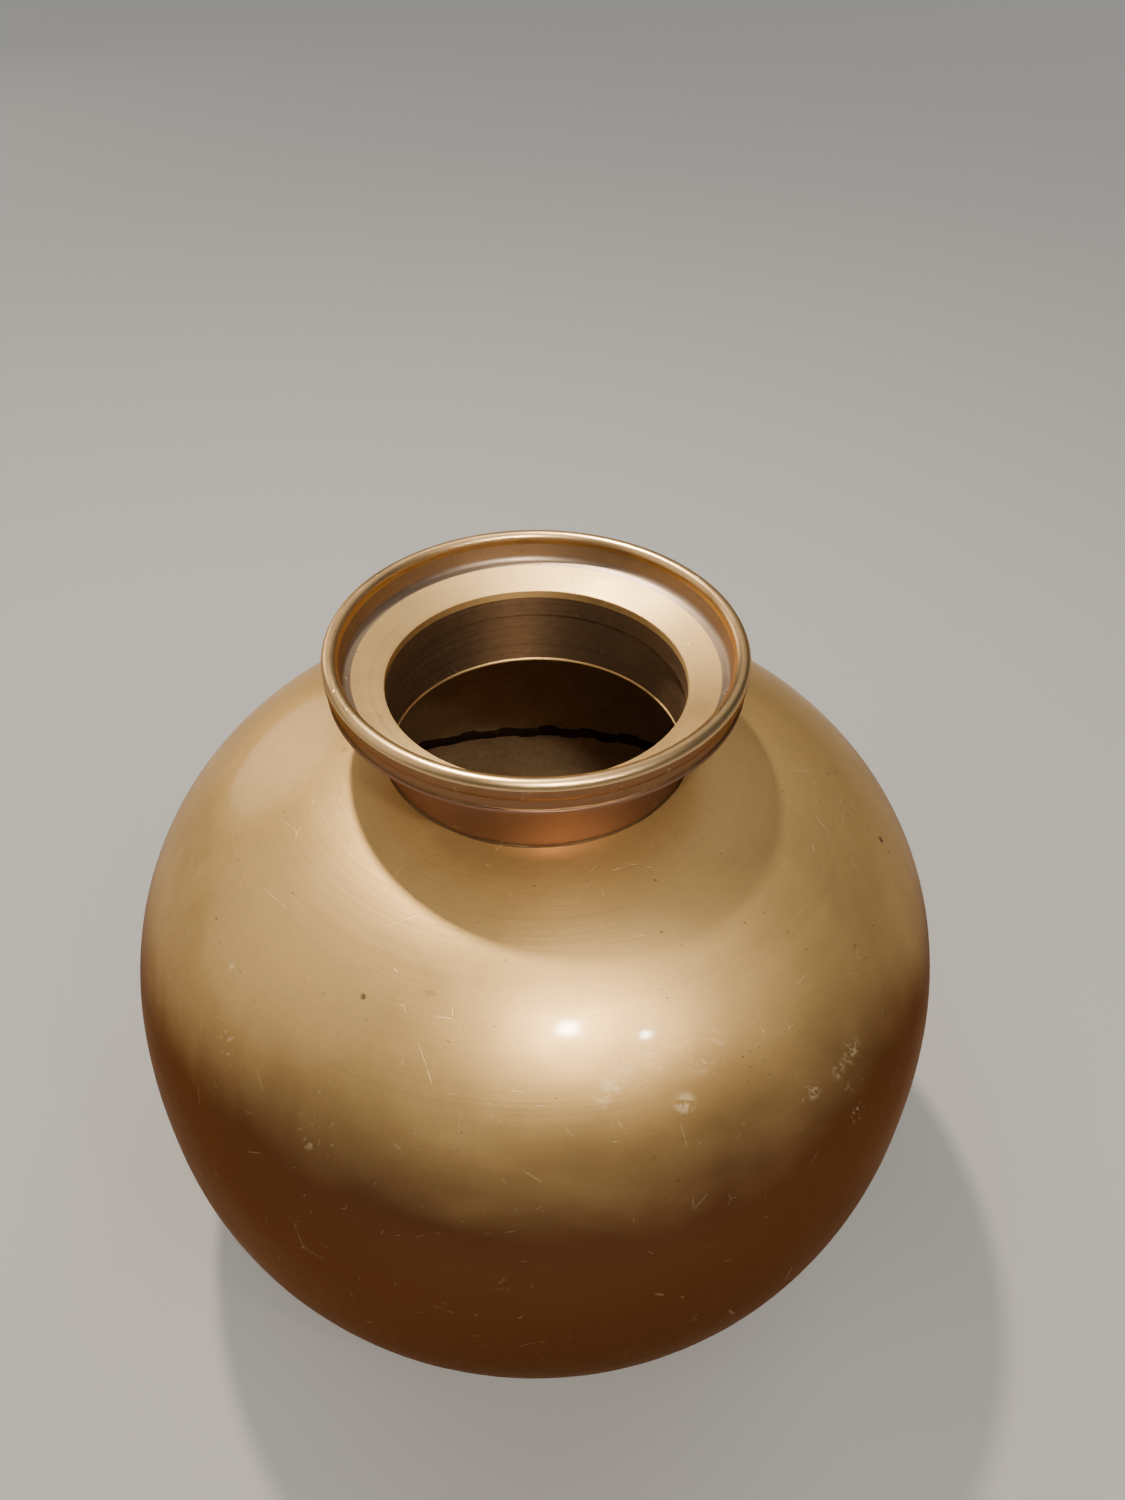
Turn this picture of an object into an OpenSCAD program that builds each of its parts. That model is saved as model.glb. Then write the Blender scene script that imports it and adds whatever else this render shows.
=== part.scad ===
// Brass lota water pot: a round belly of two sheet halves, a short neck,
// a turned mouth ring with a sunk ledge, and a low ring foot.
// Millimetres. Z = 0 is the floor and +Z is the axis of the pot.

/* [Overall] */
// Height from the floor to the top of the lip
total_height = 230; // [222:1:245]
// Widest outside diameter, at the belly seam
belly_diameter = 246; // [236:1:260]
// Height of the belly seam above the floor
belly_level = 98; // [94:0.5:104]
// Thickness of the body sheet
sheet_thickness = 1.4; // [1:0.1:2]

/* [Body shape] */
// Fullness of the shoulder: 2 is an ellipse and more is squarer
shoulder_power = 2.6; // [2.4:0.05:2.8]
// Fullness of the lower bowl: 2 is an ellipse and more is squarer
bowl_power = 2.4; // [2.2:0.05:2.6]
// Depth under the lip of the crown that the shoulder curve aims at
crown_depth = 30.5; // [29:0.5:32]
// Clear space between the floor and the bottom of the bowl
bowl_clearance = 5; // [4:0.5:7]
// Height of the half-lap joint between the two halves
lap_height = 6; // [4:0.5:8]

/* [Mouth ring] */
// Outside diameter over the bead of the lip
lip_diameter = 110; // [108:0.5:114]
// Thickness of the rounded lip
lip_thickness = 4; // [3.4:0.1:4.4]
// Height of the lip's bulge on the outside
lip_bulge = 5.6; // [5:0.1:6]
// Depth of the lower edge of the ring's outer wall under the lip
ring_depth = 8.6; // [8.2:0.1:9.2]
// Diameter of the bore
bore_diameter = 80.2; // [78:0.2:80.4]
// Depth of the ledge's outer edge under the lip
ledge_depth = 8.2; // [7.8:0.1:8.6]
// Fall of the ledge from its outer edge to the bore
ledge_fall = 3.9; // [3.4:0.1:4.2]
// Length of the collar that drops into the neck
collar_length = 6.5; // [5:0.5:8]

/* [Neck] */
// Outside diameter of the neck
neck_diameter = 84.4; // [84:0.2:86]
// Width of the step in the neck's bore under the collar
neck_step = 0.45; // [0.2:0.05:0.8]
// Depth of the neck's lower end under the lip
neck_depth = 37.8; // [36.5:0.1:42]
// Thickness of the flared seat under the mouth ring
flare_thickness = 1; // [0.8:0.1:1.2]

/* [Foot] */
// Outside diameter of the foot ring on the floor
foot_diameter = 94; // [88:1:104]
// Thickness of the foot ring's wall
foot_thickness = 2.2; // [1.8:0.1:3]
// Thickness of the bead around the bottom of the foot ring
foot_bead = 3.4; // [3:0.1:4]

/* [Brazing] */
// Leg of the brazing fillets around the neck and the foot
fillet_leg = 1; // [0.8:0.1:1.4]
// Thickness of the brazing band inside the belly seam
band_thickness = 0.6; // [0.4:0.1:1]

/* [Smoothness] */
// Facets around the pot
facets = 72; // [48:12:72]
// Steps along each curved half of the body
curve_steps = 18; // [12:1:18]

/* [Hidden] */
$fn = facets;
fit_gap = 0.02;
brass = [0.72, 0.58, 0.36];
neck_brass = [0.66, 0.46, 0.28];
braze = [0.86, 0.72, 0.44];

// Body
belly_r = belly_diameter / 2;
shoulder_rise = total_height - belly_level - crown_depth;
bowl_drop = belly_level - bowl_clearance;
lap_steps = 3;
tongue_start = 1;
band_start = 0.5;
band_end = 8;

// Mouth ring
lip_r = lip_diameter / 2;
lip_round = lip_thickness / 2;
bulge_round = 1.6;
bulge_overhang = 1;
wall_r = lip_r - bulge_overhang;
groove = 0.3;
inner_r = lip_r - lip_thickness;
wall_lean = 0.3;
corner_round = 2;
corner_width = 1.8;
corner_r = inner_r - wall_lean - corner_round;
bore_r = bore_diameter / 2;
bore_edge = 0.6;
ledge_angle = atan2(ledge_fall, inner_r - corner_width - bore_r);
ledge_z = total_height - ledge_depth;
bore_z = ledge_z - ledge_fall;
ring_z = total_height - ring_depth;
collar_wall = 1.05;
collar_r = bore_r + collar_wall;
collar_seat_z = ring_z - (wall_r - collar_r) * tan(ledge_angle);
collar_z = collar_seat_z - collar_length;

// Neck
neck_r = neck_diameter / 2;
recess_r = collar_r + fit_gap;
neck_bore_r = recess_r - neck_step;
neck_z = total_height - neck_depth;
flare_overhang = 0.5;
flare_r = wall_r + flare_overhang;
flare_top_z = ring_z - fit_gap;
cove_round = 1.2;
cove_r = neck_r + cove_round;
flare_fall = (flare_r - cove_r) * tan(ledge_angle);
cove_z = flare_top_z - flare_thickness - flare_fall - cove_round / cos(ledge_angle);
hole_r = neck_r + fit_gap;

// Foot
foot_r = foot_diameter / 2;
foot_lean = 2.4;
foot_top_r = foot_r - foot_lean;
bead_r = foot_bead / 2;

// A half of the body is a superellipse stretched from the centre of the belly
// seam: its point at an angle, its height over a radius and its radius at a height
function dome_stretch(angle, power) =
    pow(pow(max(cos(angle), 0), power) + pow(sin(angle), power), -1 / power);
function dome_height(r, radius, rise, power) =
    rise * pow(1 - pow(r / radius, power), 1 / power);
function dome_radius(height, radius, rise, power) =
    radius * pow(1 - pow(height / rise, power), 1 / power);
function dome_angle(r, radius, rise, power) =
    atan2(dome_height(r, radius, rise, power) / rise, r / radius);

// Height of the shoulder's and of the bowl's outside at a radius
function shoulder_z(r) = belly_level + dome_height(r, belly_r, shoulder_rise, shoulder_power);
function bowl_z(r) = belly_level - dome_height(r, belly_r, bowl_drop, bowl_power);

// The shoulder's curve from the seam up to the hole, set in from the outside
function shoulder_line(inset) =
    let (radius = belly_r - inset, rise = shoulder_rise - inset)
    let (last = dome_angle(hole_r, radius, rise, shoulder_power))
    [for (i = [0:curve_steps])
        let (angle = last * i / curve_steps, k = dome_stretch(angle, shoulder_power))
        [i == curve_steps ? hole_r : radius * k * cos(angle), belly_level + rise * k * sin(angle)]];

// The bowl's point at a depth under the seam, set in from the outside
function bowl_point(depth, inset) =
    [dome_radius(depth, belly_r - inset, bowl_drop - inset, bowl_power), belly_level - depth];

// The bowl's curve between two depths under the seam
function lap_line(top, bottom, inset) =
    [for (i = [0:lap_steps]) bowl_point(top + (bottom - top) * i / lap_steps, inset)];

// The bowl's curve from a depth under the seam down to the axis
function bowl_line(depth, inset) =
    let (radius = belly_r - inset, drop = bowl_drop - inset)
    let (first = dome_angle(bowl_point(depth, inset)[0], radius, drop, bowl_power))
    [for (i = [1:curve_steps])
        let (angle = first + (90 - first) * i / curve_steps, k = dome_stretch(angle, bowl_power))
        [i == curve_steps ? 0 : radius * k * cos(angle), belly_level - drop * k * sin(angle)]];

function arc(centre, radius, from, to, steps) =
    [for (i = [0:steps])
        let (angle = from + (to - from) * i / steps)
        centre + radius * [cos(angle), sin(angle)]];

function backwards(points) = [for (i = [len(points) - 1:-1:0]) points[i]];

// Turned ring: rounded lip, inner wall, sunk ledge that falls to the bore,
// and a collar that drops into the neck
module mouth_ring() {
    bulge_z = total_height - lip_bulge;
    bulge = arc([lip_r - bulge_round, bulge_z + bulge_round], bulge_round, -70, 0, 4);
    lip = arc([lip_r - lip_round, total_height - lip_round], lip_round, 0, 180, 12);
    corner = arc([corner_r, ledge_z + corner_round * cos(ledge_angle)], corner_round, 0, ledge_angle - 90, 5);
    bore_round = arc([bore_r + bore_edge, bore_z - bore_edge], bore_edge, 90 + ledge_angle, 180, 3);
    color(brass)
        rotate_extrude()
            polygon(concat(
                [[wall_r, ring_z], [wall_r, bulge_z - 2 * groove], [wall_r - groove, bulge_z - groove]],
                bulge, lip, corner, bore_round,
                [[bore_r, collar_z], [collar_r, collar_z], [collar_r, collar_seat_z]]));
}

// Thin line of brazing between the mouth ring and the rim of the neck's flare
module mouth_braze() {
    root_r = wall_r + fit_gap;
    color(braze)
        rotate_extrude()
            polygon([[root_r, ring_z], [flare_r, ring_z], [root_r, ring_z + flare_overhang]]);
}

// Neck: a short tube with a flared seat at the top, a recess for the ring's
// collar, and a lower end that stands a little way inside the shoulder
module neck_tube() {
    recess_z = collar_z - fit_gap;
    cove = arc([cove_r, cove_z], cove_round, 180, 90 + ledge_angle, 4);
    color(neck_brass)
        rotate_extrude()
            polygon(concat(
                [[flare_r, flare_top_z], [wall_r, flare_top_z], [recess_r, collar_seat_z - fit_gap]],
                [[recess_r, recess_z], [neck_bore_r, recess_z], [neck_bore_r, neck_z], [neck_r, neck_z]],
                cove,
                [[flare_r, flare_top_z - flare_thickness]]));
}

// Small brazing fillet in the corner between the neck and the shoulder
module neck_braze() {
    fillet_r = hole_r + fillet_leg;
    color(braze)
        rotate_extrude()
            polygon([[hole_r, shoulder_z(hole_r) + fit_gap], [fillet_r, shoulder_z(fillet_r) + fit_gap],
                     [hole_r, shoulder_z(hole_r) + fillet_leg]]);
}

// Upper half of the body, with the hole for the neck and the inner half of the lap
module shoulder_shell() {
    color(brass)
        rotate_extrude()
            polygon(concat(
                shoulder_line(0),
                backwards(shoulder_line(sheet_thickness)),
                lap_line(tongue_start, lap_height, sheet_thickness),
                backwards(lap_line(0, lap_height, sheet_thickness / 2))));
}

// Thin band of brazing inside, over the end of the lap
module belly_braze() {
    color(braze)
        rotate_extrude()
            polygon(concat(
                lap_line(band_start, band_end, sheet_thickness + fit_gap),
                backwards(lap_line(band_start, band_end, sheet_thickness + band_thickness))));
}

// Lower half of the body, with the outer half of the lap
module lower_bowl() {
    lap_inset = sheet_thickness / 2 - fit_gap;
    lap_end = lap_height + fit_gap;
    color(brass)
        rotate_extrude()
            polygon(concat(
                lap_line(fit_gap, lap_end, 0),
                bowl_line(lap_end, 0),
                backwards(bowl_line(lap_end, sheet_thickness)),
                [bowl_point(lap_end, sheet_thickness)],
                backwards(lap_line(fit_gap, lap_end, lap_inset))));
}

// Low ring foot with a beaded rim that stands on the floor
module foot_ring() {
    inner_top_r = foot_top_r - foot_thickness;
    inner_foot_r = foot_r - bead_r - foot_thickness / 2;
    color(brass)
        rotate_extrude()
            polygon(concat(
                [[inner_foot_r, 0]],
                arc([foot_r - bead_r, bead_r], bead_r, -90, 100, 8),
                [[foot_top_r, bowl_z(foot_top_r) - fit_gap], [inner_top_r, bowl_z(inner_top_r) - fit_gap]]));
}

// Small brazing fillet in the corner between the foot ring and the bowl
module foot_braze() {
    toe_in_r = foot_top_r + 2 * fit_gap;
    toe_out_r = toe_in_r + fillet_leg;
    lean = fillet_leg * (foot_r - bead_r - foot_top_r) / (bowl_z(foot_top_r) - foot_bead);
    color(braze)
        rotate_extrude()
            polygon([[toe_in_r, bowl_z(toe_in_r) - fit_gap], [toe_in_r + lean, bowl_z(toe_in_r) - fillet_leg],
                     [toe_out_r, bowl_z(toe_out_r) - fit_gap]]);
}

mouth_ring();
mouth_braze();
neck_tube();
neck_braze();
shoulder_shell();
belly_braze();
lower_bowl();
foot_ring();
foot_braze();
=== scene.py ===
"""Looks of the brass lota water pot: smooth turned and sheet brass pieces over the CAD frame, a pale
floor, soft lights and the camera. Lengths are in millimetres until a mesh is made, then in metres."""

import math

import bmesh
import bpy
from mathutils import Matrix, Vector, noise


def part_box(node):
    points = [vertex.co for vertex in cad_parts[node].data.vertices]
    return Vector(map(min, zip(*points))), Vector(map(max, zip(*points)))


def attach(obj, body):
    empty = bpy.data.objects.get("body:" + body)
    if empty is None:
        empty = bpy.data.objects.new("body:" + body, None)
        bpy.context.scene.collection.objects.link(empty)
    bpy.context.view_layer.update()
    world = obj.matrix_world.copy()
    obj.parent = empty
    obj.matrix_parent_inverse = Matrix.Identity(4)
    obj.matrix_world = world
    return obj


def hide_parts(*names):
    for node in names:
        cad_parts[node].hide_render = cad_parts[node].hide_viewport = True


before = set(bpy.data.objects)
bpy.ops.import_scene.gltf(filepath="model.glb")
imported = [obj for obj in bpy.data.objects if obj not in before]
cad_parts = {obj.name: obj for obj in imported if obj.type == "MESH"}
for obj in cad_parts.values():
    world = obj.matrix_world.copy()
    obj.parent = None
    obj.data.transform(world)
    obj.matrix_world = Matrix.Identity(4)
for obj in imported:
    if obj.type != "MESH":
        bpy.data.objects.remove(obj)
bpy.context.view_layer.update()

MM = 0.001


def size_mm(node):
    """Outside radius, lowest and highest z of a CAD node, in millimetres."""
    low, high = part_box(node)
    return high[0] / MM, low[2] / MM, high[2] / MM


# ---------------------------------------------------------------- sizes read from the CAD frame
LIP_R, COLLAR_Z, LIP_Z = size_mm("mouth_ring")
FLARE_R, NECK_Z, FLARE_Z = size_mm("neck_tube")
BELLY_R, LAP_Z = size_mm("shoulder_shell")[:2]
BOWL_Z, SEAM_Z = size_mm("lower_bowl")[1:]
FOOT_R = size_mm("foot_ring")[0]
FILLET_R, FILLET_LOW_Z, FILLET_HIGH_Z = size_mm("neck_braze")
BAND_LOW_Z, BAND_HIGH_Z = size_mm("belly_braze")[1:]
TOE_R, TOE_LOW_Z = size_mm("foot_braze")[:2]

# ---------------------------------------------------------------- sizes as in the CAD source
# Clearance where two pieces meet
GAP = 0.02
SHEET = 1.4
HALF_SHEET = SHEET / 2
SHOULDER_POWER = 2.6
BOWL_POWER = 2.4
CROWN_Z = LIP_Z - 30.5
WALL_R = LIP_R - 1
INNER_R = LIP_R - 4
RING_Z = LIP_Z - 8.6
BULGE_Z = LIP_Z - 5.6
BORE_R = 40.1
COLLAR_R = 41.15
LEDGE_R = 49.2
LEDGE_Z = LIP_Z - 8.2
LEDGE_FALL = 3.9
LEDGE_ANGLE = math.atan2(LEDGE_FALL, LEDGE_R - BORE_R)
LEDGE_SLOPE = math.degrees(LEDGE_ANGLE)
SEAT_Z = RING_Z - (WALL_R - COLLAR_R) * math.tan(LEDGE_ANGLE)
NECK_R = 42.2
NECK_BORE_R = 40.7
HOLE_R = NECK_R + GAP
FOOT_LEAN = 2.4
FOOT_WALL = 2.2
FOOT_BEAD = 1.7

# ---------------------------------------------------------------- fineness of the meshes
TURNS = 256
FILLER_TURNS = 512
TOOTHED_TURNS = 720
TOE_TURNS = 384
SHARP_ANGLE = math.radians(28)
# Points nearer than this in mm are one point
SAME_POINT = 0.004
# Radius in mm under which a point is on the axis
ON_AXIS = 1e-4

# ---------------------------------------------------------------- colours
GOLD = (0.66, 0.425, 0.16)
PALE_GOLD = (0.73, 0.50, 0.215)
BROWN = (0.52, 0.32, 0.12)
# Lower belly tone: partly patina, mostly painted shade and painted reflection of dark surroundings
LOW_PATINA_AND_SHADE = (0.13, 0.052, 0.022)
RUBBED = (0.95, 0.80, 0.52)
PIT = (0.10, 0.065, 0.035)
EDGE_TINT = (0.6, 0.42, 0.28)
FLOOR_GREY = (0.24, 0.232, 0.22)
LAMP_WARM = (1.0, 0.89, 0.72)
LAMP_WHITE = (1, 1, 1)
SKY = (0.93, 0.95, 1.0)

# ---------------------------------------------------------------- wear of the belly
# Rubbed patches: azimuth in degrees from the front, height, radius and reach in mm, grain, level
MARKS = (
    (11.6, 175.5, 94, 4, 1100.0, 0.49),
    (9.8, 173.7, 96, 3.5, 1100.0, 0.48),
    (8.4, 171.4, 98, 3, 1100.0, 0.49),
    (15.5, 176.5, 93, 2.6, 1100.0, 0.49),
    (16.8, 174.0, 96, 2.2, 1100.0, 0.49),
    (19.2, 168.3, 102, 3.6, 700.0, 0.46),
    (37.5, 157.8, 110, 3, 1000.0, 0.49),
    (42.3, 157.5, 110, 3, 800.0, 0.46),
    (45.5, 158.5, 109, 5, 1000.0, 0.51),
    (43.6, 143.0, 117, 3.6, 1000.0, 0.49),
    (-51.9, 172.9, 97, 1.6, 1000.0, 0.46),
    (-54.0, 169.0, 100, 1.4, 1000.0, 0.46),
    (-45, 163, 107, 9, 900.0, 0.57),
    (-28, 158, 110, 8, 900.0, 0.575),
    (24, 175, 94, 8, 900.0, 0.54),
    (120, 165, 106, 10, 900.0, 0.52),
    (-140, 150, 114, 12, 900.0, 0.52),
    (165, 178, 92, 6, 900.0, 0.5),
)
# Dark nicks, the same way
NICKS = (
    (-53.5, 187.5, 77, 0.9, 500.0, 0.40),
    (-28.5, 181.5, 86, 1.1, 500.0, 0.40),
    (79.8, 172.4, 98, 1.6, 500.0, 0.42),
    (78.6, 169.5, 100, 1.3, 500.0, 0.42),
    (-110, 150, 114, 1.4, 500.0, 0.42),
)
# Hairlines: turn of the pattern, size of its cells and width of its lines in mm, gap
HAIRLINES = (
    ((0.3, 0.4, 0.9), 31, 0.2, 0.6),
    ((1.2, 0.2, 2.1), 17, 0.15, 0.62),
    ((0.1, 1.1, 0.4), 9, 0.12, 0.64),
)
# Heights in mm between which the belly goes from the dark lower tone up to gold; the lower tone is partly
# patina, mostly painted shade and painted reflection of dark surroundings
PATINA_AND_SHADE_FULL_Z = 140
PATINA_AND_SHADE_END_Z = 176

# ---------------------------------------------------------------- metals
METALS = {
    "brass_body": dict(
        colour=GOLD, dark=BROWN, light=PALE_GOLD,
        roughness=0.43, tarnish=0.5, rings=0.45, aniso=0.0, wear=0.35, coat=0.4, metallic=0.92,
        low_patina_and_shade=LOW_PATINA_AND_SHADE, marks=MARKS, nicks=NICKS,
    ),
    "brass_inside": dict(
        colour=(0.48, 0.34, 0.21), dark=(0.30, 0.20, 0.12), light=(0.58, 0.43, 0.27),
        roughness=0.5, tarnish=0.9, rings=0.3, aniso=0.2, wear=0.2, metallic=0.9,
    ),
    "brass_lip": dict(
        colour=(0.74, 0.50, 0.25), dark=(0.64, 0.41, 0.19), light=(0.80, 0.56, 0.28),
        roughness=0.31, tarnish=0.6, rings=0.1, aniso=0.1, wear=0.2, coat=0.2,
    ),
    "brass_ring_wall": dict(
        colour=(0.40, 0.30, 0.225), dark=(0.32, 0.235, 0.17), light=(0.48, 0.37, 0.28),
        roughness=0.42, tarnish=0.5, rings=0.4, aniso=0.5, wear=0.3,
    ),
    # Outer band under the lip: its darker brown is partly tarnish, partly painted reflection of a dark floor
    # below it
    "brass_band": dict(
        colour=(0.31, 0.17, 0.09), dark=(0.23, 0.12, 0.06), light=(0.40, 0.25, 0.14),
        roughness=0.4, tarnish=0.7, rings=0.3, aniso=0.3, wear=0.6,
    ),
    "brass_ledge": dict(
        colour=(0.84, 0.59, 0.27), dark=(0.74, 0.50, 0.21), light=(0.90, 0.67, 0.33),
        roughness=0.5, tarnish=0.4, rings=0.35, aniso=0.6, wear=0.5,
    ),
    "brass_bore": dict(
        colour=(0.34, 0.22, 0.13), dark=(0.18, 0.11, 0.06), light=(0.46, 0.32, 0.20),
        roughness=0.4, tarnish=0.8, rings=1.4, aniso=0.75, wear=0.5, metallic=0.93,
    ),
    "brass_neck": dict(
        colour=(0.33, 0.19, 0.13), dark=(0.26, 0.145, 0.10), light=(0.41, 0.26, 0.18),
        roughness=0.42, tarnish=0.6, rings=0.3, aniso=0.4, wear=0.4,
    ),
    "braze_dull": dict(
        colour=(0.15, 0.08, 0.036), dark=(0.08, 0.042, 0.02), light=(0.34, 0.21, 0.10),
        roughness=0.5, tarnish=1.0, rings=0.0, aniso=0.0, wear=0.2,
    ),
    "braze_dark": dict(
        colour=(0.07, 0.045, 0.025), dark=(0.03, 0.02, 0.012), light=(0.15, 0.09, 0.05),
        roughness=0.6, tarnish=0.9, rings=0.0, aniso=0.0, wear=0.1,
    ),
}


# ---------------------------------------------------------------- outlines
def arc(centre_r, centre_z, radius, start, end, steps):
    """Points of an arc, angles in degrees."""
    points = []
    for i in range(steps + 1):
        a = math.radians(start + (end - start) * i / steps)
        points.append((centre_r + radius * math.cos(a), centre_z + radius * math.sin(a)))
    return points


def straight(a, b, steps):
    """Points from a to b, without b."""
    step_r, step_z = (b[0] - a[0]) / steps, (b[1] - a[1]) / steps
    return [(a[0] + step_r * i, a[1] + step_z * i) for i in range(steps)]


def dome(radius, rise, power, first, last, steps):
    """Points of a superellipse quarter as (radius, height), between two angles in degrees."""
    points = []
    for i in range(steps + 1):
        a = math.radians(first + (last - first) * i / steps)
        k = (abs(math.cos(a)) ** power + abs(math.sin(a)) ** power) ** (-1 / power)
        points.append((radius * k * max(math.cos(a), 0), rise * k * math.sin(a)))
    return points


def dome_angle(r, radius, power):
    """Angle in degrees at which a superellipse of that radius has radius r."""
    height = (1 - (r / radius) ** power) ** (1 / power)
    return math.degrees(math.atan2(height, r / radius))


def shoulder_line(inset, steps=110):
    """The shoulder's curve from the seam up to the hole, set in from the outside."""
    radius, rise = BELLY_R - inset, CROWN_Z - SEAM_Z - inset
    last = dome_angle(HOLE_R, radius, SHOULDER_POWER)
    return [(r, SEAM_Z + h) for r, h in dome(radius, rise, SHOULDER_POWER, 0, last, steps)]


def bowl_line(inset, steps=120):
    """The bowl's curve from the seam down to the axis, set in from the outside."""
    radius, drop = BELLY_R - inset, SEAM_Z - BOWL_Z - inset
    return [(r, SEAM_Z - h) for r, h in dome(radius, drop, BOWL_POWER, 0, 90, steps)]


def bowl_z(r):
    """Height of the bowl's outside at radius r."""
    return SEAM_Z - (SEAM_Z - BOWL_Z) * (1 - (r / BELLY_R) ** BOWL_POWER) ** (1 / BOWL_POWER)


# ---------------------------------------------------------------- mesh builders
def thin_out(sections):
    """One closed list of (point, material number) from the sections, without doubled points."""
    outline = [(p, m) for m, points in sections for p in points]
    tidy = [outline[0]]
    for item in outline[1:]:
        if math.dist(item[0], tidy[-1][0]) > SAME_POINT:
            tidy.append(item)
    if math.dist(tidy[0][0], tidy[-1][0]) < SAME_POINT:
        tidy.pop()
    return tidy


def add_rings(bm, outline, turns, shift):
    """A ring of vertices for each point of the outline, each with its way along the outline."""
    along = bm.verts.layers.float.new("along")
    rings, length = [], 0
    for i, ((r, z), m) in enumerate(outline):
        length += math.dist((r, z), outline[i - 1][0]) if i else 0
        ring = []
        for t in range(1 if r < ON_AXIS else turns):
            a = 2 * math.pi * t / turns
            rr, zz = shift(a, r, z) if shift else (r, z)
            v = bm.verts.new((rr * math.cos(a) * MM, rr * math.sin(a) * MM, zz * MM))
            v[along] = length * MM
            ring.append(v)
        rings.append(ring)
    return rings


def add_faces(bm, rings, outline, turns):
    """Faces between neighbouring rings, and between the last and the first."""
    for i in range(len(rings)):
        a_ring, b_ring = rings[i], rings[(i + 1) % len(rings)]
        on_axis = len(a_ring) == 1 and len(b_ring) == 1
        for t in range(0 if on_axis else turns):
            u = (t + 1) % turns
            corners = [a_ring[t % len(a_ring)], a_ring[u % len(a_ring)]]
            corners += [b_ring[u % len(b_ring)], b_ring[t % len(b_ring)]]
            face = bm.faces.new(list(dict.fromkeys(corners)))
            face.material_index = outline[i][1]
            face.smooth = True


def lathe(name, sections, turns=TURNS, shift=None):
    """Turns a closed outline into a mesh. sections is a list of (material number, points in mm) in order
    round the outline; each material covers its points up to the first point of the next section. shift
    moves a point: shift(angle, r, z) gives new (r, z)."""
    outline = thin_out(sections)
    bm = bmesh.new()
    rings = add_rings(bm, outline, turns, shift)
    add_faces(bm, rings, outline, turns)
    bmesh.ops.recalc_face_normals(bm, faces=bm.faces)
    for edge in bm.edges:
        if len(edge.link_faces) == 2 and edge.calc_face_angle() > SHARP_ANGLE:
            edge.smooth = False
    mesh = bpy.data.meshes.new(name)
    bm.to_mesh(mesh)
    bm.free()
    piece = bpy.data.objects.new(name, mesh)
    bpy.context.scene.collection.objects.link(piece)
    return piece


def ripple(a, r, z, size, seed):
    """Smooth noise over the pot's surface, from -1 to 1, for features of that size in mm."""
    return noise.noise(Vector((r * math.cos(a), r * math.sin(a), z)) / size + Vector((seed, seed * 1.7, 0)))


def hand_made(a, r, z):
    """Slow unevenness of hand-finished sheet, a fraction of a millimetre, none at the hole or foot."""
    uneven = 0.28 * ripple(a, r, z, 70, 3.1) + 0.07 * ripple(a, r, z, 22, 8.4)
    fade = (r - HOLE_R) / 25 if z > SEAM_Z else (r - FOOT_R) / 20
    fade = min(1, max(0, fade))
    return r + uneven * fade * r / BELLY_R, z + uneven * fade * (z - SEAM_Z) / BELLY_R


def finish_piece(piece, node, materials):
    """Gives a piece its materials and its place in the frame."""
    for material in materials:
        piece.data.materials.append(material)
    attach(piece, "root")
    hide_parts(node)


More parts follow.
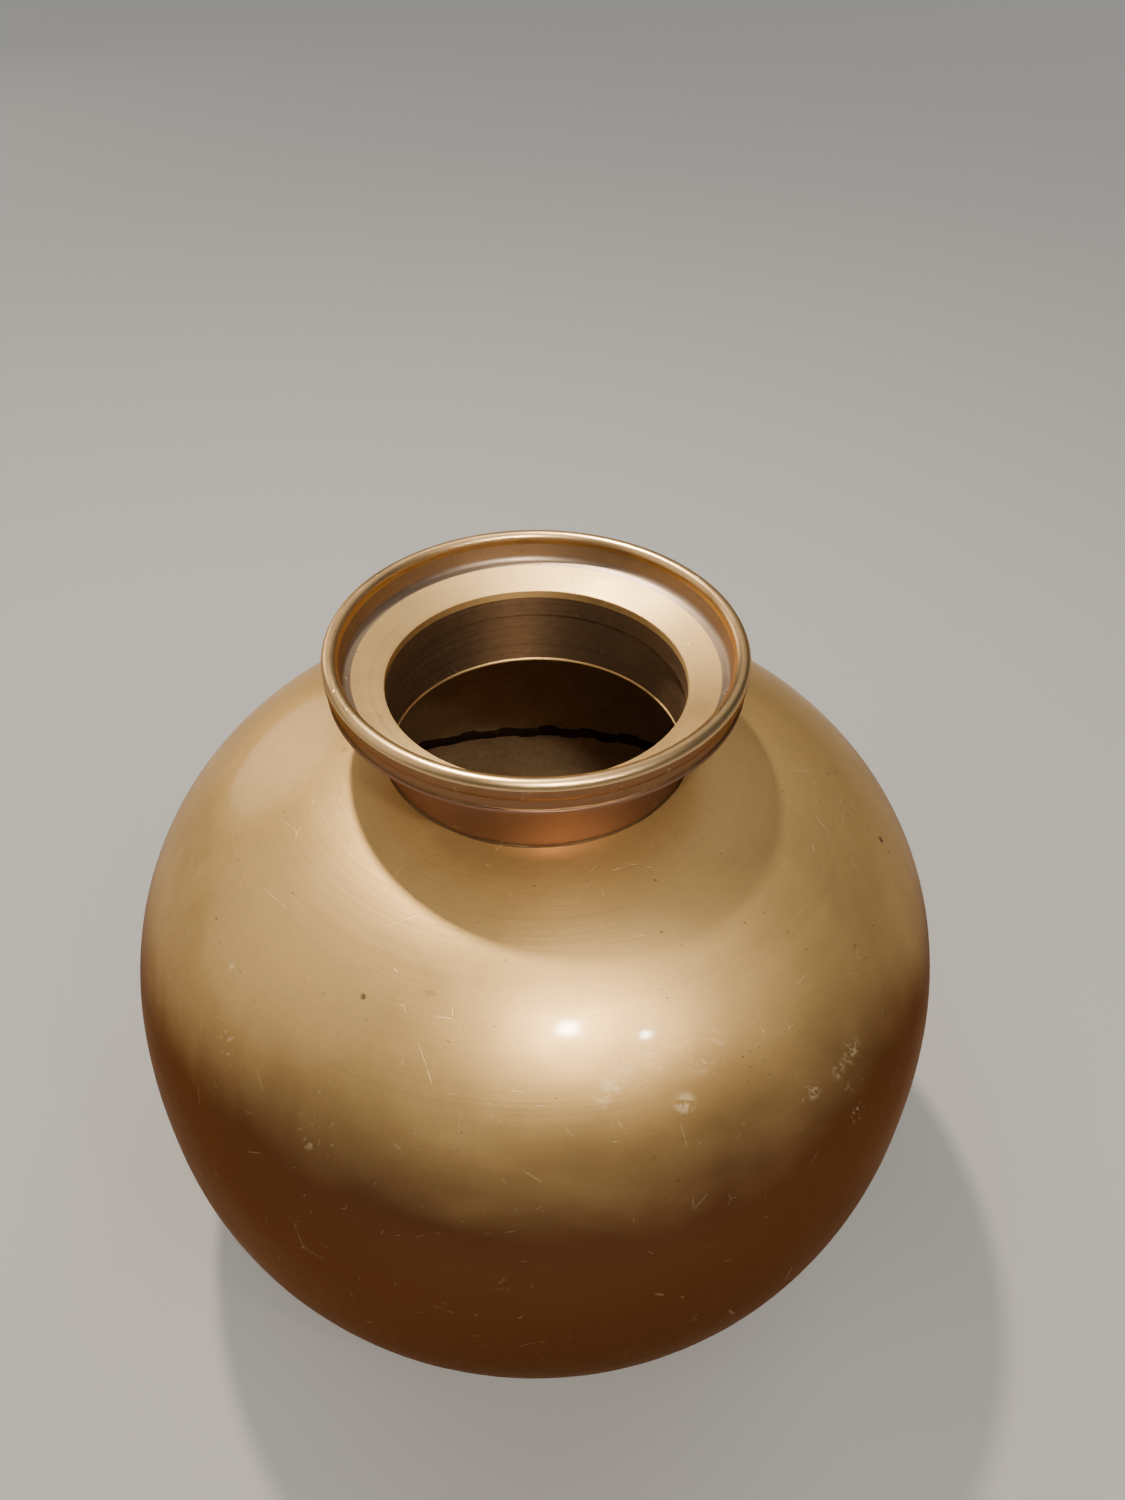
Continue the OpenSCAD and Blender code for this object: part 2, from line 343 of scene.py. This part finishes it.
# ---------------------------------------------------------------- materials
class Nodes:
    """A material's node tree with short helpers."""

    def __init__(self, name):
        self.material = bpy.data.materials.new(name)
        self.material.use_nodes = True
        self.tree = self.material.node_tree
        self.tree.nodes.clear()
        self.out = self.add("ShaderNodeOutputMaterial")
        self.shader = self.add("ShaderNodeBsdfPrincipled")
        self.link(self.shader.outputs[0], self.out.inputs["Surface"])
        self.place = self.add("ShaderNodeTexCoord").outputs["Object"]

    def add(self, kind, **settings):
        node = self.tree.nodes.new(kind)
        for key, value in settings.items():
            setattr(node, key, value)
        return node

    def link(self, a, b):
        self.tree.links.new(a, b)

    def plug(self, socket, value):
        """Links a socket to the value if that is an output, or else sets it."""
        if hasattr(value, "links"):
            self.link(value, socket)
        else:
            socket.default_value = value

    def math(self, operation, a, b=0.0, clamp=False):
        node = self.add("ShaderNodeMath", operation=operation, use_clamp=clamp)
        self.plug(node.inputs[0], a)
        self.plug(node.inputs[1], b)
        return node.outputs[0]

    def most(self, masks):
        """The largest of several masks at each point."""
        found = masks[0]
        for mask in masks[1:]:
            found = self.math("MAXIMUM", found, mask)
        return found

    def distance(self, a, b):
        node = self.add("ShaderNodeVectorMath", operation="DISTANCE")
        self.plug(node.inputs[0], a)
        self.plug(node.inputs[1], b)
        return node.outputs[1]

    def noise(self, place, scale, detail=3.0, rough=0.55, distortion=0.0):
        node = self.add("ShaderNodeTexNoise")
        self.link(place, node.inputs["Vector"])
        node.inputs["Scale"].default_value = scale
        node.inputs["Detail"].default_value = detail
        node.inputs["Roughness"].default_value = rough
        node.inputs["Distortion"].default_value = distortion
        return node.outputs["Fac"]

    def fit(self, value, low, high, to_low=0.0, to_high=1.0):
        """Maps low to high onto to_low to to_high, with soft ends."""
        node = self.add("ShaderNodeMapRange", interpolation_type="SMOOTHSTEP")
        self.link(value, node.inputs[0])
        for socket, number in zip(node.inputs[1:5], (low, high, to_low, to_high)):
            socket.default_value = number
        return node.outputs[0]

    def mix(self, amount, a, b):
        """Colour a where amount is 0, colour b where it is 1."""
        node = self.add("ShaderNodeMix", data_type="RGBA")
        self.plug(node.inputs[0], amount)
        for socket, colour in ((node.inputs[6], a), (node.inputs[7], b)):
            self.plug(socket, colour if hasattr(colour, "links") else (*colour, 1.0))
        return node.outputs[2]

    def axes(self):
        """Object-space x, y and z."""
        node = self.add("ShaderNodeSeparateXYZ")
        self.link(self.place, node.inputs[0])
        return node.outputs

    def turned(self, around, across):
        """Coordinates that stretch a noise into fine rings round the axis: around and across are its
        frequencies per metre round the pot and along the outline."""
        along = self.add("ShaderNodeAttribute", attribute_name="along").outputs["Fac"]
        x, y = self.axes()[0:2]
        node = self.add("ShaderNodeCombineXYZ")
        self.link(self.math("MULTIPLY", x, around), node.inputs[0])
        self.link(self.math("MULTIPLY", y, around), node.inputs[1])
        self.link(self.math("MULTIPLY", along, across), node.inputs[2])
        return node.outputs[0]

    def stretched(self, turn, stretch):
        """Coordinates turned about the axes and then scaled along each."""
        node = self.add("ShaderNodeMapping")
        self.link(self.place, node.inputs["Vector"])
        node.inputs["Rotation"].default_value = turn
        node.inputs["Scale"].default_value = stretch
        return node.outputs[0]

    def bump(self, height, strength, distance, under=None):
        node = self.add("ShaderNodeBump")
        self.link(height, node.inputs["Height"])
        node.inputs["Strength"].default_value = strength
        node.inputs["Distance"].default_value = distance
        if under is not None:
            self.link(under, node.inputs["Normal"])
        return node.outputs[0]


def hairlines(n, turn, cell, width, gap):
    """A mask of thin, short scratches in all directions: edges of cells, broken up by noise. cell and
    width are in mm, and a larger gap leaves fewer of them."""
    place = n.stretched(turn, (1.0, 1.0, 1.0))
    edges = n.add("ShaderNodeTexVoronoi", feature="DISTANCE_TO_EDGE")
    n.link(place, edges.inputs["Vector"])
    edges.inputs["Scale"].default_value = 1 / (cell * MM)
    line = n.fit(edges.outputs["Distance"], width / cell, 0.3 * width / cell)
    breaks = n.noise(place, 2.6 / (cell * MM), 2.0)
    return n.math("MULTIPLY", line, n.fit(breaks, gap, gap + 0.04))


def scuff(n, azimuth, z, r, reach, grain, level):
    """A small rubbed patch round one point of the surface. Azimuth 0 is the front, in degrees."""
    a = math.radians(azimuth)
    spot = (r * MM * math.sin(a), -r * MM * math.cos(a), z * MM)
    near = n.fit(n.distance(n.place, spot), reach * MM, reach * 0.2 * MM)
    specks = n.noise(n.place, grain, 4.0, 0.7)
    streaks = n.noise(n.stretched((azimuth, reach, z), (90.0, 800.0, 300.0)), 1.0, 3.0, 0.6)
    worn = n.math("MULTIPLY", n.math("ADD", specks, streaks), 0.5)
    return n.math("MULTIPLY", near, n.fit(worn, level, level + 0.06))


class Patterns:
    """The noises that colour, roughness and bumps share."""

    def __init__(self, n):
        self.slow = n.noise(n.place, 9.0, 4.0, 0.6, 0.4)
        self.cloudy = n.noise(n.place, 38.0, 5.0, 0.65, 0.2)
        self.spots = n.noise(n.place, 160.0, 2.0, 0.5)
        self.fine = n.noise(n.place, 420.0, 3.0, 0.6)
        self.grit = n.noise(n.place, 700.0, 1.0)
        self.grain = n.noise(n.place, 1500.0, 2.0, 0.7)
        self.narrow_rings = n.noise(n.turned(9.0, 2600.0), 1.0, 3.0, 0.6)
        self.wide_rings = n.noise(n.turned(6.0, 900.0), 1.0, 3.0, 0.6)


def metal_tint(n, seen, colour, dark, light, tarnish, rings):
    """Mottled brass with turning lines and a few dark spots."""
    tint = n.mix(n.fit(seen.slow, 0.35, 0.68), dark, light)
    tint = n.mix(n.math("MULTIPLY", n.fit(seen.cloudy, 0.42, 0.7), tarnish), colour, tint)
    tint = n.mix(n.fit(seen.fine, 0.4, 0.66, 0.0, 0.3 * tarnish), tint, dark)
    turning = n.math("MAXIMUM", seen.narrow_rings, seen.wide_rings)
    tint = n.mix(n.fit(turning, 0.4, 0.7, 0.0, rings * 0.35), tint, dark)
    return n.mix(n.fit(seen.spots, 0.73, 0.79, 0.0, 0.3), tint, tuple(c * 0.45 for c in dark))


def lower_patina_and_shade(n, seen, tint, low_patina_and_shade, coat):
    """Darker tone on the lower part of the belly, where the surface is duller too: partly patina, mostly
    painted shade and painted reflection of dark surroundings.
    """
    uneven = n.math("MULTIPLY", n.math("SUBTRACT", seen.slow, 0.5), 0.05)
    level = n.math("ADD", n.axes()[2], uneven)
    low, high = PATINA_AND_SHADE_FULL_Z * MM, PATINA_AND_SHADE_END_Z * MM
    n.link(n.fit(level, low, high, 0.02, coat), n.shader.inputs["Coat Weight"])
    return n.mix(n.fit(level, high, low), tint, low_patina_and_shade)


def metal_roughness(n, seen, roughness, rubbed):
    """Roughness that varies with the tarnish, the turning lines and the rubbed patches."""
    rough = n.fit(seen.cloudy, 0.3, 0.72, roughness - 0.03, roughness + 0.05)
    rough = n.math("ADD", rough, n.math("MULTIPLY", n.math("SUBTRACT", seen.narrow_rings, 0.5), 0.12))
    return n.math("ADD", rough, n.math("MULTIPLY", rubbed, 0.12), clamp=True)


def metal_bumps(n, seen, rings, hollows):
    """Turning lines, grain, and the depth of scratches and pits. Distances are in metres."""
    normal = n.bump(seen.narrow_rings, 0.5 * rings, 0.00006)
    normal = n.bump(seen.wide_rings, 0.35 * rings, 0.0002, normal)
    normal = n.bump(seen.fine, 0.12, 0.00005, normal)
    normal = n.bump(seen.grain, 0.25, 0.00002, normal)
    return n.bump(n.math("SUBTRACT", 0.0, hollows), 0.35, 0.00008, normal)


def brass(name, colour, dark, light, roughness, tarnish, rings, aniso, wear, coat=0.0, metallic=1.0,
          low_patina_and_shade=None, marks=(), nicks=()):
    """Satin brass: mottled colour, fine turning rings, scratches, pits and rubbed patches."""
    n = Nodes(name)
    inputs = n.shader.inputs
    seen = Patterns(n)
    cuts = n.most([hairlines(n, *lines) for lines in HAIRLINES])
    rubbed = n.most([n.math("MULTIPLY", cuts, wear)] + [scuff(n, *mark) for mark in marks])
    pits = n.math("MULTIPLY", n.fit(seen.grit, 0.76, 0.80), 0.7)
    pits = n.most([pits] + [scuff(n, *nick) for nick in nicks])

    inputs["Coat Weight"].default_value = coat
    tint = metal_tint(n, seen, colour, dark, light, tarnish, rings)
    if low_patina_and_shade:
        # Painted shade and painted reflection on the lower belly, partly patina
        tint = lower_patina_and_shade(n, seen, tint, low_patina_and_shade, coat)
    tint = n.mix(n.math("MULTIPLY", rubbed, 0.42), tint, RUBBED)
    n.link(n.mix(pits, tint, PIT), inputs["Base Color"])
    n.link(metal_roughness(n, seen, roughness, rubbed), inputs["Roughness"])
    n.link(metal_bumps(n, seen, rings, n.math("MAXIMUM", cuts, pits)), inputs["Normal"])

    inputs["Metallic"].default_value = metallic
    inputs["Anisotropic"].default_value = aniso
    inputs["Anisotropic Rotation"].default_value = 0.25
    inputs["Specular Tint"].default_value = (*EDGE_TINT, 1.0)
    inputs["Coat Roughness"].default_value = 0.1
    tangent = n.add("ShaderNodeTangent", direction_type="RADIAL", axis="Z")
    n.link(tangent.outputs[0], inputs["Tangent"])
    return n.material


# ---------------------------------------------------------------- pieces
def mouth_ring(m):
    """Rounded lip, faint groove, inner wall, sunk ledge, bore and collar."""
    lip_round, bulge_round, corner, edge = 2.0, 1.6, 2.0, 0.35
    corner_r = INNER_R - 0.3 - corner
    corner_z = LEDGE_Z + corner * math.cos(LEDGE_ANGLE)
    bore_z = LEDGE_Z - LEDGE_FALL

    band = [(WALL_R, RING_Z), (WALL_R, BULGE_Z - 0.6), (WALL_R - 0.06, BULGE_Z - 0.3)]
    bulge = arc(LIP_R - bulge_round, BULGE_Z + bulge_round, bulge_round, -66, 0, 8)
    lip = arc(LIP_R - lip_round, LIP_Z - lip_round, lip_round, 0, 180, 28)
    wall = straight(lip[-1], (corner_r + corner, corner_z), 4)[1:]
    wall += arc(corner_r, corner_z, corner, 0, LEDGE_SLOPE - 90, 12)
    rim = arc(BORE_R + edge, bore_z - edge, edge, 90 + LEDGE_SLOPE, 180, 8)
    ledge = straight(wall[-1], rim[0], 8)[1:] + rim
    bore = straight(rim[-1], (BORE_R, COLLAR_Z), 4)[1:]
    bore += [(BORE_R, COLLAR_Z), (COLLAR_R, COLLAR_Z), (COLLAR_R, SEAT_Z)]

    # The band's darker brown is partly tarnish, partly painted reflection of a dark floor
    sections = [(4, band), (4, bulge), (0, lip), (1, wall), (2, ledge), (3, bore)]
    piece = lathe("mouth_ring_turned", sections)
    metals = [m["brass_lip"], m["brass_ring_wall"], m["brass_ledge"], m["brass_bore"], m["brass_band"]]
    finish_piece(piece, "mouth_ring", metals)


def mouth_braze(m):
    """Thin line of filler round the lower edge of the ring, slightly uneven."""
    leg = FLARE_R - WALL_R

    def uneven(a, r, z):
        return r, z + (0.12 * ripple(a, r, z, 4, 5.5) if z > RING_Z + 0.01 else 0)

    outline = [(WALL_R - GAP, RING_Z), (WALL_R + leg * 0.7, RING_Z), (WALL_R + leg * 0.6, RING_Z + 0.1)]
    outline += [(WALL_R + 0.1, RING_Z + leg * 0.4), (WALL_R - GAP, RING_Z + leg * 0.7)]
    piece = lathe("mouth_braze_line", [(0, outline)], FILLER_TURNS, uneven)
    finish_piece(piece, "mouth_braze", [m["braze_dull"]])


def neck_tube(m):
    """Short tube with the flared seat, the cove under it and a rounded lower edge."""
    cove, edge = 1.2, 0.3
    cove_r = NECK_R + cove
    cove_z = FLARE_Z - 1.0 - (FLARE_R - cove_r) * math.tan(LEDGE_ANGLE) - cove / math.cos(LEDGE_ANGLE)
    recess_r, recess_z = COLLAR_R + GAP, COLLAR_Z - GAP

    outside = arc(cove_r, cove_z, cove, 180, 90 + LEDGE_SLOPE, 10)
    rim = arc(FLARE_R - 0.25, FLARE_Z - 0.75, 0.25, -60, 0, 5)
    rim += arc(FLARE_R - 0.2, FLARE_Z - 0.2, 0.2, 0, 90, 5)
    seat = [(WALL_R - 0.1, FLARE_Z), (recess_r, SEAT_Z - GAP), (recess_r, recess_z), (NECK_BORE_R, recess_z)]
    bore = straight((NECK_BORE_R, COLLAR_Z - 0.3), (NECK_BORE_R, NECK_Z + 1.3), 6)[1:]
    bottom = arc(NECK_BORE_R + 0.1, NECK_Z + 0.55, 0.5, 110, 250, 10)
    bottom += arc(NECK_R - edge, NECK_Z + edge, edge, 270, 360, 5)
    side = straight((NECK_R, NECK_Z + 2), outside[0], 6)

    sections = [(0, outside + rim), (1, seat), (1, bore), (2, bottom), (0, side)]
    piece = lathe("neck_tube_turned", sections)
    finish_piece(piece, "neck_tube", [m["brass_neck"], m["brass_bore"], m["brass_ledge"]])


def neck_braze(m):
    """Fine fillet between the neck and the shoulder, slightly uneven."""
    toe_r = HOLE_R + 0.5
    low_z = FILLET_LOW_Z

    def uneven(a, r, z):
        swell = 0.25 * ripple(a, r, 0, 5, 2.2) + 0.1 * ripple(a, r, 0, 1.6, 7.7)
        out = max(0, r - HOLE_R) / (FILLET_R - HOLE_R)
        up = max(0, z - FILLET_HIGH_Z + 1) if r < HOLE_R + 0.3 else 0
        return r + swell * out, z + swell * up * 0.6

    outline = [(HOLE_R, low_z + 0.1), (toe_r, low_z - 0.04), (toe_r - 0.1, low_z + 0.12)]
    outline += [(HOLE_R + 0.3, low_z + 0.3), (HOLE_R + 0.1, low_z + 0.5), (HOLE_R, low_z + 0.75)]
    piece = lathe("neck_braze_fillet", [(0, outline)], FILLER_TURNS, uneven)
    finish_piece(piece, "neck_braze", [m["braze_dull"]])


def shoulder_shell(m):
    """Upper half of the belly with its inner half of the lap."""
    outer, inner = shoulder_line(0), shoulder_line(SHEET)[::-1]
    inner_r = inner[-1][0]
    lap_r = BELLY_R - HALF_SHEET
    tongue = [(inner_r, SEAM_Z), (inner_r - 0.1, LAP_Z), (lap_r - 0.1, LAP_Z), (lap_r, SEAM_Z)]
    piece = lathe("shoulder_shell_sheet", [(0, outer), (1, inner + tongue)], shift=hand_made)
    finish_piece(piece, "shoulder_shell", [m["brass_body"], m["brass_inside"]])


def lower_bowl(m):
    """Lower half of the belly with its outer half of the lap."""
    outer = bowl_line(0)
    inner = [p for p in bowl_line(SHEET)[::-1] if p[1] < LAP_Z - 0.1]
    lap_r, lap_z = BELLY_R - HALF_SHEET, LAP_Z - 0.05
    rabbet = [(BELLY_R - SHEET - 0.1, lap_z), (lap_r - 0.08, lap_z), (lap_r + GAP, SEAM_Z)]
    piece = lathe("lower_bowl_sheet", [(0, outer), (1, inner + rabbet)], shift=hand_made)
    finish_piece(piece, "lower_bowl", [m["brass_body"], m["brass_inside"]])


def belly_braze(m):
    """Ragged, toothed band of filler over the lap on the inside, narrower than its CAD node."""
    teeth, inset = 46, 1.6
    middle = (BAND_LOW_Z + BAND_HIGH_Z) / 2
    low, high = BAND_LOW_Z + inset, BAND_HIGH_Z - inset
    r_out = BELLY_R - SHEET - GAP

    def ragged(a, r, z):
        tooth = 0.8 * math.tanh(4 * math.sin(a * teeth + 1.5 * ripple(a, r, 0, 30, 1.1)))
        wander = tooth + 1.6 * ripple(a, r, 0, 9, 4.3)
        bulge = 0.2 * ripple(a, r, z, 5, 9.9) if r < r_out - 0.1 else 0
        return r + bulge, z + (wander if abs(z - middle) > 2 else 0)

    outline = [(r_out - 0.05, low), (r_out, high), (r_out - 0.3, high - 0.2), (r_out - 0.5, high - 0.8)]
    outline += [(r_out - 0.55, middle), (r_out - 0.6, low + 0.8), (r_out - 0.35, low + 0.2)]
    piece = lathe("belly_braze_band", [(0, outline)], TOOTHED_TURNS, ragged)
    finish_piece(piece, "belly_braze", [m["braze_dark"]])


def foot_ring(m):
    """Low ring foot with a beaded rim."""
    bead_r = FOOT_R - FOOT_BEAD
    top_r = FOOT_R - FOOT_LEAN
    inner_top_r = top_r - FOOT_WALL
    rim = [(bead_r - 1.1, 0)] + arc(bead_r, FOOT_BEAD, FOOT_BEAD, -90, 100, 20)
    wall = [(top_r + 0.2, FOOT_BEAD * 2 + 1), (top_r, bowl_z(top_r) - GAP)]
    wall += [(inner_top_r, bowl_z(inner_top_r) - GAP)]
    piece = lathe("foot_ring_turned", [(0, rim), (0, wall)])
    finish_piece(piece, "foot_ring", [m["brass_neck"]])


def foot_braze(m):
    """Fillet between the foot and the bowl, slightly uneven."""
    in_r = FOOT_R - FOOT_LEAN

    def uneven(a, r, z):
        return r + (0.2 * ripple(a, r, 0, 5, 6.6) if r > TOE_R - 0.2 else 0), z

    outline = [(in_r, bowl_z(in_r)), (in_r + 0.05, TOE_LOW_Z), (in_r + 0.45, TOE_LOW_Z + 0.7)]
    outline += [(TOE_R, bowl_z(TOE_R))]
    piece = lathe("foot_braze_fillet", [(0, outline)], TOE_TURNS, uneven)
    finish_piece(piece, "foot_braze", [m["braze_dull"]])


PIECES = (
    mouth_ring, mouth_braze, neck_tube, neck_braze, shoulder_shell,
    belly_braze, lower_bowl, foot_ring, foot_braze,
)


# ---------------------------------------------------------------- stage, lights and camera
def make_floor():
    """Plain pale round floor."""
    reach, corners = 8.5, 96
    angles = [2 * math.pi * i / corners for i in range(corners)]
    mesh = bpy.data.meshes.new("floor")
    mesh.from_pydata([(reach * math.cos(a), reach * math.sin(a), 0) for a in angles], [], [range(corners)])
    floor = bpy.data.objects.new("floor", mesh)
    bpy.context.scene.collection.objects.link(floor)
    material = bpy.data.materials.new("floor_pale")
    material.use_nodes = True
    shader = material.node_tree.nodes["Principled BSDF"]
    shader.inputs["Roughness"].default_value = 0.8
    shader.inputs["Base Color"].default_value = (*FLOOR_GREY, 1)
    floor.data.materials.append(material)


def area_light(name, place, aim, width, power, colour, in_gloss=True):
    """Round area light at a place, facing a point, metres and watts."""
    data = bpy.data.lights.new(name, "AREA")
    data.shape = "DISK"
    data.size = width
    data.energy = power
    data.color = colour
    lamp = bpy.data.objects.new(name, data)
    lamp.location = place
    lamp.visible_glossy = in_gloss
    lamp.rotation_euler = (Vector(aim) - Vector(place)).to_track_quat("-Z", "Y").to_euler()
    bpy.context.scene.collection.objects.link(lamp)


# Name, place, point it faces, width, watts and colour
LAMPS = (
    ("key", (-0.19, 0.31, 1.08), (0, 0, 0.18), 0.06, 14.5, LAMP_WARM),
    ("front_lamp", (0.07, -0.38, 0.70), (0, -0.08, 0.18), 0.05, 3.2, LAMP_WARM),
    ("side_lamp", (0.26, -0.39, 0.64), (0, -0.08, 0.18), 0.014, 0.8, LAMP_WARM),
    ("soft_fill", (0.5, -0.6, 1.7), (0, 0, 0.1), 1.6, 3.0, LAMP_WHITE),
    ("left_fill", (-1.1, -0.1, 0.8), (0, 0, 0.15), 1.4, 3.6, LAMP_WARM),
    ("back_right", (0.5, 0.8, 1.1), (0, 0, 0.2), 0.9, 0.7, LAMP_WARM),
    ("back_left", (-1.3, 1.5, 0.75), (0, 0, 0.2), 1.0, 6.0, LAMP_WARM),
)
WASH_AWAY, WASH_UP, WASH_WIDTH, WASH_WATTS = 4, 3.5, 4.0, 160.0


def make_lights():
    """Key from behind on the left, small lamps by the camera, soft fill, and four lamps that light the
    floor evenly without showing in the metal."""
    for lamp in LAMPS:
        area_light(*lamp)
    for side in range(4):
        a = math.pi / 2 * side + math.pi / 4
        x, y = WASH_AWAY * math.cos(a), WASH_AWAY * math.sin(a)
        name = f"floor_wash_{side}"
        area_light(name, (x, y, WASH_UP), (x, y, 0), WASH_WIDTH, WASH_WATTS, LAMP_WHITE, in_gloss=False)
    world = bpy.data.worlds.new("studio")
    world.use_nodes = True
    back = world.node_tree.nodes["Background"]
    back.inputs["Color"].default_value = (*SKY, 1)
    back.inputs["Strength"].default_value = 0.1
    bpy.context.scene.world = world


def make_camera():
    """Camera above and in front of the pot, looking down into the mouth."""
    pitch, turn, roll = math.radians(41.7), math.radians(1.72), math.radians(0.89)
    place = (0, -0.2354, LIP_Z * MM + 0.1713)
    ahead = Vector((math.sin(turn) * math.cos(pitch), math.cos(turn) * math.cos(pitch), -math.sin(pitch)))
    level = Vector((math.cos(turn), -math.sin(turn), 0))
    upright = level.cross(ahead)
    right = math.cos(roll) * level + math.sin(roll) * upright
    up = math.cos(roll) * upright - math.sin(roll) * level
    data = bpy.data.cameras.new("camera")
    data.sensor_width = 36
    data.lens = 27.05
    camera = bpy.data.objects.new("camera", data)
    camera.matrix_world = Matrix.Translation(place) @ Matrix((right, up, -ahead)).transposed().to_4x4()
    bpy.context.scene.collection.objects.link(camera)
    bpy.context.scene.camera = camera


def main():
    """Builds everything."""
    metals = {name: brass(name, **settings) for name, settings in METALS.items()}
    for build in PIECES:
        build(metals)
    make_floor()
    make_lights()
    make_camera()


main()
